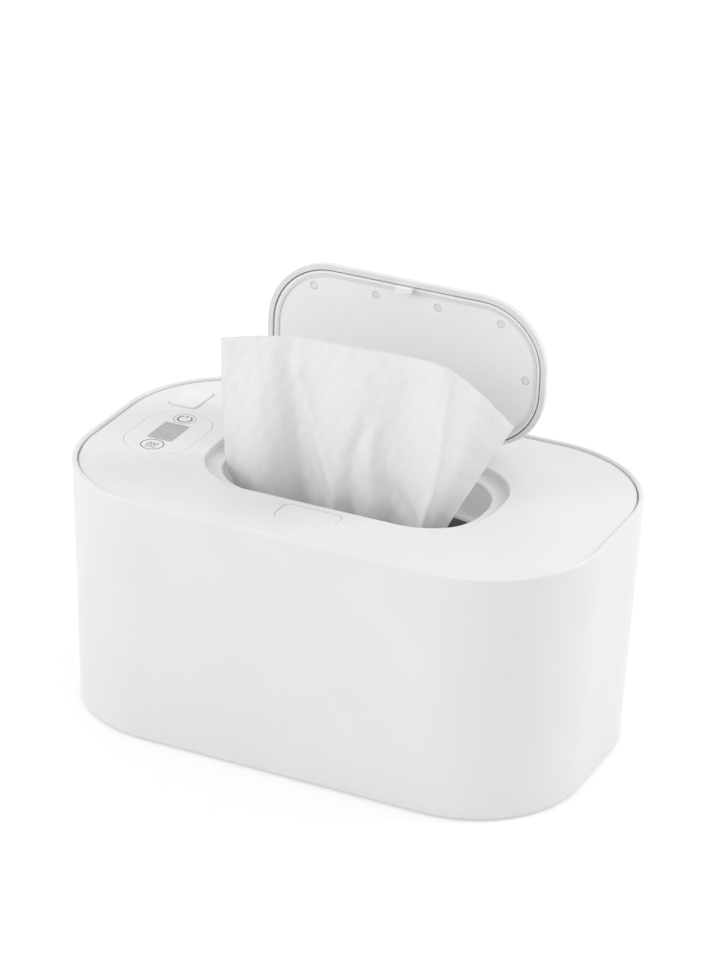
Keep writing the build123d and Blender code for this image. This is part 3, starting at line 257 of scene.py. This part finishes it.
FINISH = {
    "housing": ["outer_shell", "base_cover", "lid_shell"],
    "cover": ["top_cover", "lid_button"],
    "inner": ["cover_liner", "lid_liner", "lid_catch"],
    "panel": ["control_panel"],
    "milky": ["light_button"],
    "tank": ["inner_tank"],
    "window": ["display_window"],
    "black": ["dc_inlet", "display_module", "tact_switch"],
    "board": ["power_board", "control_board"],
    "film": ["heater_film"],
    "foam": ["tank_foam"],
    "rubber": ["rubber_feet"],
    "silicone": ["cover_gasket", "lid_seal"],
    "ivory": ["contact_block"],
    "plated": ["contact_pads"],
    "steel": ["base_screws", "cover_screws", "cover_hinge_pin", "lid_hinge_pin", "lid_spring",
              "button_springs", "touch_springs", "shell_magnets", "cover_magnets", "thermostat"],
}


def dress_nodes(materials):
    """Gives every shown CAD node its material."""
    for finish, names in FINISH.items():
        for name in names:
            data = NODES[name].data
            data.materials.clear()
            data.materials.append(materials[finish])


# ================================================================ mesh helpers
def mesh_object(name, vertices, faces, material, smooth=True):
    """Object of a new mesh with one material."""
    data = bpy.data.meshes.new(name)
    data.from_pydata([tuple(v) for v in vertices], [], faces)
    data.materials.append(material)
    data.polygons.foreach_set("use_smooth", [smooth] * len(data.polygons))
    data.update()
    made = bpy.data.objects.new(name, data)
    bpy.context.collection.objects.link(made)
    return made


def spline(points, count):
    """Smooth curve through points: a Catmull-Rom line with count samples."""
    pts = np.asarray(points, float)
    p = np.vstack([2 * pts[0] - pts[1], pts, 2 * pts[-1] - pts[-2]])
    at = np.linspace(0, len(pts) - 1, count)
    i = np.minimum(at.astype(int), len(pts) - 2)
    t = (at - i)[:, None]
    a, b, c, d = p[i], p[i + 1], p[i + 2], p[i + 3]
    return 0.5 * (2 * b + (c - a) * t + (2 * a - 5 * b + 4 * c - d) * t**2 + (3 * b - a - 3 * c + d) * t**3)


# ================================================================ the wipe, in millimetres
# Rows of the standing wipe from its top edge down, each from its left edge to its right one.
WIPE_ROWS = [
    [(-60.6, -9, 166.5), (-41.8, -10, 171.7), (-22, -9, 174.4), (0, -10, 175.6),
     (24, -9, 176.2), (45.5, -12, 176), (56, 1, 161), (66, 12, 144.7)],
    [(-60.2, -9, 149), (-41, -12, 152), (-21.5, -8, 154), (2, -12, 156),
     (24, -9, 156.5), (45, -14, 156), (54, -2, 147.5), (62, 7.5, 136.5)],
    [(-59, -9, 130), (-40, -14, 132), (-22, -8, 133), (3, -13, 134),
     (23, -9, 134), (44, -15, 134), (50, -5, 129), (55.5, 2, 123)],
    [(-57, -9, 109), (-39, -15, 109), (-22, -8, 109), (3, -14, 109),
     (22, -9, 109), (38.5, -15, 109), (43, -9, 107.5), (47.5, -7, 105)],
    [(-50, -8, 91), (-34, -12, 91), (-19, -6, 91), (3, -11, 91),
     (19, -6, 91), (33, -11, 91), (37.5, -7, 91), (42, -7, 91)],
    [(-46, -6, 77), (-30, -8, 77), (-15, -5, 77), (2, -8, 77),
     (17, -5, 77), (30, -8, 77), (36, -6, 77), (41, -6, 77)],
]
# Rows of the part that lies folded on the pack: x of the left end and of the right end, y and z.
WIPE_TAIL = [(-52, 49, -14, 73.7), (-60, 58, -30, 73.5), (-66, 66, -44, 73.35), (-68, 68, -46.5, 73.0),
             (-69, 69, -43, 72.65), (-72, 72, -20, 72.6), (-75, 75, 6, 72.6)]
# Folds: (x, z) points from the top down, depths at both ends (minus stands forward), widths at both ends.
WIPE_FOLDS = [
    ([(-30, 170), (-28.5, 163.5), (-26, 136.5), (-21.5, 109.5)], (1.4, 3.2), (3.4, 5.5)),
    ([(-25.6, 162), (-20.1, 145.4), (-14.1, 133.6), (-3.3, 108.2)], (-2.0, -3.2), (2.6, 3.6)),
    ([(8.8, 144.2), (5.9, 134.3), (2.9, 125.3), (3.5, 105.9)], (0.8, 3.4), (2.8, 4.6)),
    ([(13.6, 146), (11.6, 131), (14.5, 108)], (-0.6, -3.0), (2.6, 4.0)),
    ([(15.7, 120), (25.3, 111), (31, 104)], (0.5, 1.3), (4.0, 6.0)),
    ([(47.7, 173.3), (46.4, 153.3), (46.0, 142.7), (43.2, 120.6), (37.8, 100.9)], (-1.2, -2.4), (2.2, 3.0)),
    ([(-47, 165), (-52, 148), (-50, 128)], (0.7, 0.5), (4.0, 5.0)),
    ([(30, 168), (27, 150), (30, 132)], (0.9, 0.6), (5.0, 6.0)),
]
FOLD_FADE = 9.0  # height over which a fold starts
STANDING_FROM = 74.0  # the folds begin at this height and are whole a little above it
STANDING_BLEND = 8.0
# Crumples: depth, spacing across, spacing down and phase.
CRUMPLES = [(0.22, 11.0, 47.0, 0.4), (0.16, 7.3, -29.0, 1.9), (0.10, 4.9, 19.0, 4.1)]
CRUMPLE_BEAT = 2.3  # spacing of a crumple's swelling, in its own spacings across
WIPE_ACROSS = 161
WIPE_DOWN = 190
WIPE_THICK = 0.45 * MM


def wipe_rows():
    """Control rows of the whole sheet: the standing part and its folded tail."""
    rows = list(WIPE_ROWS)
    count = len(WIPE_ROWS[0])
    for left, right, y, z in WIPE_TAIL:
        rows.append([(x, y, z) for x in np.linspace(left, right, count)])
    return rows


def add_folds(grid):
    """Pushes the sheet's points to and fro along the named fold lines, and crumples it slightly."""
    x, z = grid[..., 0], grid[..., 2]
    standing = np.clip((z - STANDING_FROM) / STANDING_BLEND, 0, 1)
    for line, depths, widths in WIPE_FOLDS:
        line = np.array(line[::-1], float)
        middle = np.interp(z, line[:, 1], line[:, 0])
        low, high = line[0, 1], line[-1, 1]
        part = np.clip((high - z) / (high - low), 0, 1)
        depth = depths[0] + (depths[1] - depths[0]) * part
        width = widths[0] + (widths[1] - widths[0]) * part
        start = np.clip((high + FOLD_FADE / 2 - z) / FOLD_FADE, 0, 1)
        start = start**2 * (3 - 2 * start)
        grid[..., 1] += standing * start * depth * np.exp(-((x - middle) / width) ** 2)
    for depth, across, down, phase in CRUMPLES:
        wave = np.sin(2 * pi * (x / across + z / down) + phase)
        beat = np.cos(2 * pi * z / (CRUMPLE_BEAT * across) + phase)
        grid[..., 1] += standing * depth * (wave * beat)


def make_wipe(material):
    """Pulled wipe: one smooth sheet through the given rows, with its folds and its tail on the pack."""
    rows = [spline(row, WIPE_ACROSS) for row in wipe_rows()]
    grid = np.stack([spline(column, WIPE_DOWN) for column in np.stack(rows, 1)], 0)
    add_folds(grid)
    across, down = grid.shape[:2]
    faces = []
    for i in range(across - 1):
        for j in range(down - 1):
            k = i * down + j
            faces.append((k, k + 1, k + down + 1, k + down))
    wipe = mesh_object("pulled_wipe_cloth", grid.reshape(-1, 3) * MM, faces, material)
    solid = wipe.modifiers.new("thickness", "SOLIDIFY")
    solid.thickness = WIPE_THICK
    solid.offset = 0.0
    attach(wipe, COVER_BODY)
    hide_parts("pulled_wipe")
    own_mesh(wipe)


# ================================================================ pack of folded wipes, in millimetres
PACK_LAYERS = 26
PACK_CORNER = 6.0
PACK_SEED = 7
PACK_LIFT = 0.05  # bottom above the solid's own
FOOT_INSET = 1.1  # bottom edge inside the solid's sides
LAYER_INSETS = (0.1, 0.7)  # range of the layers' insets
LAYER_SECTION = [(0.12, 0.45), (0.35, 0.05), (0.65, 0.05), (0.88, 0.45)]  # share of the height, added inset
EDGE_WANDER = 0.12  # how far the edge wanders at WANDER_AT from the middle
WANDER_AT = 90.0
WANDER_WAVES = 5
CORNER_STEPS = 9
STRAIGHT_STEPS = 10
TOP_RINGS = 14
TOP_CROWDING = 1.3  # above 1, the rings lie closer together towards the edge
TOP_DROP = 0.35
TOP_SAG = 0.25
SAG_RINGS = 5
TOP_FOLD_Y = 3.0
TOP_FOLD_WIDTH = 1.2
TOP_FOLD_DEPTH = 0.35
TOP_RIPPLE = 0.12
RIPPLE_X = 13.0
RIPPLE_Y = 9.0


def rounded_outline(half_x, half_y, corner):
    """Points round a rounded rectangle about the origin, anticlockwise."""
    points = []
    centres = [(half_x - corner, half_y - corner, 0), (corner - half_x, half_y - corner, 90),
               (corner - half_x, corner - half_y, 180), (half_x - corner, corner - half_y, 270)]
    for x, y, turn in centres:
        for step in range(CORNER_STEPS):
            angle = radians(turn + 90 * step / (CORNER_STEPS - 1))
            points.append(np.array([x + corner * cos(angle), y + corner * sin(angle)]))
    outline = []
    for i, point in enumerate(points):
        after = points[(i + 1) % len(points)]
        parts = STRAIGHT_STEPS if (i + 1) % CORNER_STEPS == 0 else 1
        outline += [point + (after - point) * (part / parts) for part in range(parts)]
    return np.array(outline)


def pack_loops(low, high):
    """Closed loops of points from the pack's bottom edge up over its layers and in over its top."""
    half = (high - low)[:2] / 2
    random = np.random.default_rng(PACK_SEED)
    step = (high[2] - low[2]) / PACK_LAYERS
    levels, insets = [low[2] + PACK_LIFT], [FOOT_INSET]
    for layer in range(PACK_LAYERS):
        edge = random.uniform(*LAYER_INSETS)
        for share, inset in LAYER_SECTION:
            levels.append(low[2] + step * (layer + share))
            insets.append(edge + inset)
    loops = []
    for z, inset in zip(levels, insets):
        outline = rounded_outline(half[0] - inset, half[1] - inset, PACK_CORNER)
        turn = np.arange(len(outline)) * 2 * pi / len(outline)
        wander = EDGE_WANDER * np.sin(turn * WANDER_WAVES + z) / WANDER_AT
        loops.append(np.column_stack([outline * (1 + wander[:, None]), np.full(len(outline), z)]))
    rim = loops[-1][:, :2]
    for number in range(1, TOP_RINGS):
        flat = rim * (1 - (number / TOP_RINGS) ** TOP_CROWDING)
        sag = TOP_SAG * (0.5 - 0.5 * cos(pi * min(1, number / SAG_RINGS)))
        fold = TOP_FOLD_DEPTH * np.exp(-((flat[:, 1] - TOP_FOLD_Y) / TOP_FOLD_WIDTH) ** 2)
        ripple = TOP_RIPPLE * np.sin(flat[:, 0] / RIPPLE_X) * np.cos(flat[:, 1] / RIPPLE_Y)
        loops.append(np.column_stack([flat, high[2] - TOP_DROP - sag - fold + ripple]))
    return loops


def make_pack(material):
    """Pack of folded wipes: layers with soft uneven edges and a slightly sunken top with its fold."""
    low, high = (np.array(corner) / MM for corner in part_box("wipe_stack"))
    loops = pack_loops(low, high)
    middles = [[0, 0, low[2] + PACK_LIFT], [0, 0, loops[-1][:, 2].mean()]]
    points = np.vstack([*loops, middles])
    bottom, crown = len(points) - 2, len(points) - 1
    count = len(loops[0])
    last = (len(loops) - 1) * count
    faces = []
    for start in range(0, last, count):
        for i in range(count):
            k, after = start + i, start + (i + 1) % count
            faces.append((k, after, after + count, k + count))
    for i in range(count):
        after = (i + 1) % count
        faces.append((after, i, bottom))
        faces.append((last + i, last + after, crown))
    pack = mesh_object("folded_wipes", points * MM, faces, material)
    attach(pack, TUB_BODY)
    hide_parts("wipe_stack")


# ================================================================ printed keys and digits, in millimetres
INK_HEIGHT = 0.04
KEY_X = -90.0
POWER_KEY_Y = 14.5
HEAT_KEY_Y = -15.5
KEY_RING = 5.0
RING_POINTS = 64
ARC_POINTS = 40
POWER_RING_STROKE = 0.42
SIGN_RADIUS = 3.1
SIGN_GAP = 28  # half of the opening at the top of the power sign, in degrees
SIGN_STROKE = 0.75
SIGN_BAR = (1.2, 3.5)  # lower and upper end of the power sign's bar above the key's middle
SIGN_BAR_STROKE = 0.6
HEAT_STROKE = 0.5  # ring and bar of the heat key
WAVE_PLACES = (-1.7, 0, 1.7)
WAVE_HALF = 1.7
WAVE_RISE = 0.4
WAVE_SWAY = 0.45
WAVE_TURN = 1.9  # radians in each millimetre
WAVE_POINTS = 24
WAVE_STROKE = 0.55
HEAT_BAR_HALF = 2.4
HEAT_BAR_DROP = 2.4
DIGITS = "45"
DIGIT_SIZE = (3.0, 6.4)
DIGIT_STEP = 4.6
DIGIT_AT = (-90.0, -0.6)
DIGIT_STROKE = 0.5
DIGIT_GAP = 0.35  # from a stroke's end to the corner
SEGMENTS = {"4": "fgbc", "5": "afgcd"}  # strokes of a seven-stroke digit


def band(points, width, low, closed):
    """Vertices and faces of a thin flat stroke along points."""
    line = np.array(points, float)
    if closed:
        ahead, behind = np.roll(line, -1, 0), np.roll(line, 1, 0)
    else:
        ahead = np.vstack([line[1:], 2 * line[-1:] - line[-2:-1]])
        behind = np.vstack([2 * line[:1] - line[1:2], line[:-1]])
    along = ahead - behind
    along /= np.linalg.norm(along, axis=1)[:, None]
    side = np.column_stack([-along[:, 1], along[:, 0]]) * width / 2
    high = low + INK_HEIGHT
    corners = [(line - side, low), (line + side, low), (line + side, high), (line - side, high)]
    loops = np.stack([np.column_stack([xy, np.full(len(line), z)]) for xy, z in corners], 1)
    count = len(line)
    faces = []
    for i in range(count if closed else count - 1):
        a, b = 4 * i, 4 * ((i + 1) % count)
        for j in range(4):
            faces.append((a + j, b + j, b + (j + 1) % 4, a + (j + 1) % 4))
    if not closed:
        last = 4 * (count - 1)
        faces += [(3, 2, 1, 0), (last, last + 1, last + 2, last + 3)]
    return loops.reshape(-1, 3), faces


def arc(x, y, radius, start, end, count=ARC_POINTS):
    """Points along an arc, in degrees from +X."""
    angles = np.radians(np.linspace(start, end, count))
    return np.column_stack([x + radius * np.cos(angles), y + radius * np.sin(angles)])


def ring(x, y, radius):
    """Points round a circle."""
    return arc(x, y, radius, 0, 360 * (1 - 1 / RING_POINTS), RING_POINTS)


def print_strokes(name, strokes, low, material):
    """One piece of several strokes, each given as its points, its width and whether it is closed."""
    vertices, faces = [], []
    for points, width, closed in strokes:
        made, sides = band(points, width, low, closed)
        faces += [tuple(len(vertices) + k for k in face) for face in sides]
        vertices += list(made * MM)
    piece = mesh_object(name, vertices, faces, material, smooth=False)
    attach(piece, COVER_BODY)


def make_power_key(materials):
    """Power key: a sign in a paler ring."""
    low, x, y = COVER_Z / MM, KEY_X, POWER_KEY_Y
    outer = [(ring(x, y, KEY_RING), POWER_RING_STROKE, True)]
    print_strokes("power_key_outer_ring", outer, low, materials["ring"])
    sign = [(arc(x, y, SIGN_RADIUS, 90 + SIGN_GAP, 450 - SIGN_GAP), SIGN_STROKE, False),
            ([(x, y + end) for end in SIGN_BAR], SIGN_BAR_STROKE, False)]
    print_strokes("power_key_sign", sign, low, materials["ink"])


def make_heat_key(materials):
    """Heat key: three waves over a bar, in a ring."""
    low, x, y = COVER_Z / MM, KEY_X, HEAT_KEY_Y
    print_strokes("heat_key_ring", [(ring(x, y, KEY_RING), HEAT_STROKE, True)], low, materials["ink"])
    strokes = []
    for place in WAVE_PLACES:
        up = np.linspace(-WAVE_HALF, WAVE_HALF, WAVE_POINTS)
        wave = np.column_stack([x + place + WAVE_SWAY * np.sin(up * WAVE_TURN), y + WAVE_RISE + up])
        strokes.append((wave, WAVE_STROKE, False))
    bar = [(x - HEAT_BAR_HALF, y - HEAT_BAR_DROP), (x + HEAT_BAR_HALF, y - HEAT_BAR_DROP)]
    strokes.append((bar, HEAT_STROKE, False))
    print_strokes("heat_key_sign", strokes, low, materials["ink"])


def make_digits(material):
    """Two plain digits on the display window's face."""
    wide, tall = DIGIT_SIZE
    strokes = []
    for place, digit in enumerate(DIGITS):
        left = DIGIT_AT[0] + DIGIT_STEP * (place - (len(DIGITS) - 1) / 2) - wide / 2
        right = left + wide
        bottom = DIGIT_AT[1] - tall / 2
        middle, top = bottom + tall / 2, bottom + tall
        lines = {
            "a": [(left, top), (right, top)],
            "b": [(right, top), (right, middle)],
            "c": [(right, middle), (right, bottom)],
            "d": [(left, bottom), (right, bottom)],
            "f": [(left, middle), (left, top)],
            "g": [(left, middle), (right, middle)],
        }
        for name in SEGMENTS[digit]:
            start, end = np.array(lines[name], float)
            short = (end - start) / np.linalg.norm(end - start) * DIGIT_GAP
            strokes.append((np.array([start + short, end - short]), DIGIT_STROKE, False))
    print_strokes("display_digits", strokes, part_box("display_window")[1][2] / MM, material)


# ================================================================ studio
def make_camera():
    """Camera at the photograph's viewing angle."""
    azimuth, elevation, roll = (radians(v) for v in (CAMERA_AZIMUTH, CAMERA_ELEVATION, CAMERA_ROLL))
    back = Vector((sin(azimuth) * cos(elevation), -cos(azimuth) * cos(elevation), sin(elevation)))
    level = Vector((cos(azimuth), sin(azimuth), 0))
    up = back.cross(level)
    right = level * cos(roll) + up * sin(roll)
    top = -level * sin(roll) + up * cos(roll)
    data = bpy.data.cameras.new("camera")
    data.sensor_width = SENSOR
    data.lens = FOCAL_PIXELS / IMAGE_HEIGHT * SENSOR
    data.clip_end = CAMERA_REACH
    camera = bpy.data.objects.new("camera", data)
    bpy.context.collection.objects.link(camera)
    turn = Matrix((right, top, back)).transposed().to_4x4()
    camera.matrix_world = Matrix.Translation(CAMERA_AT) @ turn
    bpy.context.scene.camera = camera


def area_light(name, azimuth, elevation, power):
    """Square soft box at an azimuth from the front, aimed at the tub."""
    data = bpy.data.lights.new(name, "AREA")
    data.shape = "SQUARE"
    data.size = SOFT_BOX_SIZE
    data.energy = power
    light = bpy.data.objects.new(name, data)
    bpy.context.collection.objects.link(light)
    turn, rise = radians(azimuth), radians(elevation)
    back = Vector((sin(turn) * cos(rise), -cos(turn) * cos(rise), sin(rise)))
    light.location = LIGHT_AIM + back * SOFT_BOX_REACH
    light.rotation_euler = back.to_track_quat("Z", "Y").to_euler()


def seen_directly(nodes, links):
    """Factor that is 1 for rays that show the surroundings: camera, glossy and transmission rays."""
    path = nodes.new("ShaderNodeLightPath")
    first = nodes.new("ShaderNodeMath")
    first.operation = "MAXIMUM"
    second = nodes.new("ShaderNodeMath")
    second.operation = "MAXIMUM"
    links.new(path.outputs["Is Camera Ray"], first.inputs[0])
    links.new(path.outputs["Is Glossy Ray"], first.inputs[1])
    links.new(first.outputs[0], second.inputs[0])
    links.new(path.outputs["Is Transmission Ray"], second.inputs[1])
    return second.outputs[0]


def make_world():
    """Even room light, with a white background wherever the surroundings show."""
    world = bpy.data.worlds.new("studio")
    bpy.context.scene.world = world
    world.use_nodes = True
    nodes, links = world.node_tree.nodes, world.node_tree.links
    nodes.clear()
    out = nodes.new("ShaderNodeOutputWorld")
    mix = nodes.new("ShaderNodeMixShader")
    links.new(seen_directly(nodes, links), mix.inputs["Fac"])
    for socket, strength in ((1, ROOM_LIGHT), (2, 1.0)):
        light = nodes.new("ShaderNodeBackground")
        light.inputs["Color"].default_value = (1, 1, 1, 1)
        light.inputs["Strength"].default_value = strength
        links.new(light.outputs["Background"], mix.inputs[socket])
    links.new(mix.outputs["Shader"], out.inputs["Surface"])


def make_floor():
    """Plain pale floor that looks white but keeps the tub's soft shadow."""
    mat, nodes, links = new_material("white_floor")
    out = nodes.new("ShaderNodeOutputMaterial")
    bounce = nodes.new("ShaderNodeBsdfDiffuse")
    bounce.inputs["Color"].default_value = (*grey(FLOOR_TONE), 1)
    shown = nodes.new("ShaderNodeBsdfDiffuse")
    shown.inputs["Color"].default_value = (*grey(FLOOR_SHOWN), 1)
    glow = nodes.new("ShaderNodeEmission")
    glow.inputs["Strength"].default_value = FLOOR_GLOW
    both = nodes.new("ShaderNodeAddShader")
    pick = nodes.new("ShaderNodeMixShader")
    links.new(seen_directly(nodes, links), pick.inputs["Fac"])
    links.new(shown.outputs["BSDF"], both.inputs[0])
    links.new(glow.outputs["Emission"], both.inputs[1])
    links.new(bounce.outputs["BSDF"], pick.inputs[1])
    links.new(both.outputs["Shader"], pick.inputs[2])
    links.new(pick.outputs["Shader"], out.inputs["Surface"])
    corners = [(x * FLOOR_HALF, y * FLOOR_HALF, 0) for x, y in ((-1, -1), (1, -1), (1, 1), (-1, 1))]
    floor = mesh_object("floor", corners, [(0, 1, 2, 3)], mat, smooth=False)


def main():
    """Dresses the model and sets the studio."""
    bpy.context.scene.view_settings.view_transform = "Standard"
    make_camera()
    materials = make_materials()
    dress_nodes(materials)
    make_pack(materials["wipe"])
    make_wipe(materials["wipe"])
    make_power_key(materials)
    make_heat_key(materials)
    make_digits(materials["digit"])
    make_world()
    make_floor()
    for light in SOFT_BOXES:
        area_light(*light)


main()
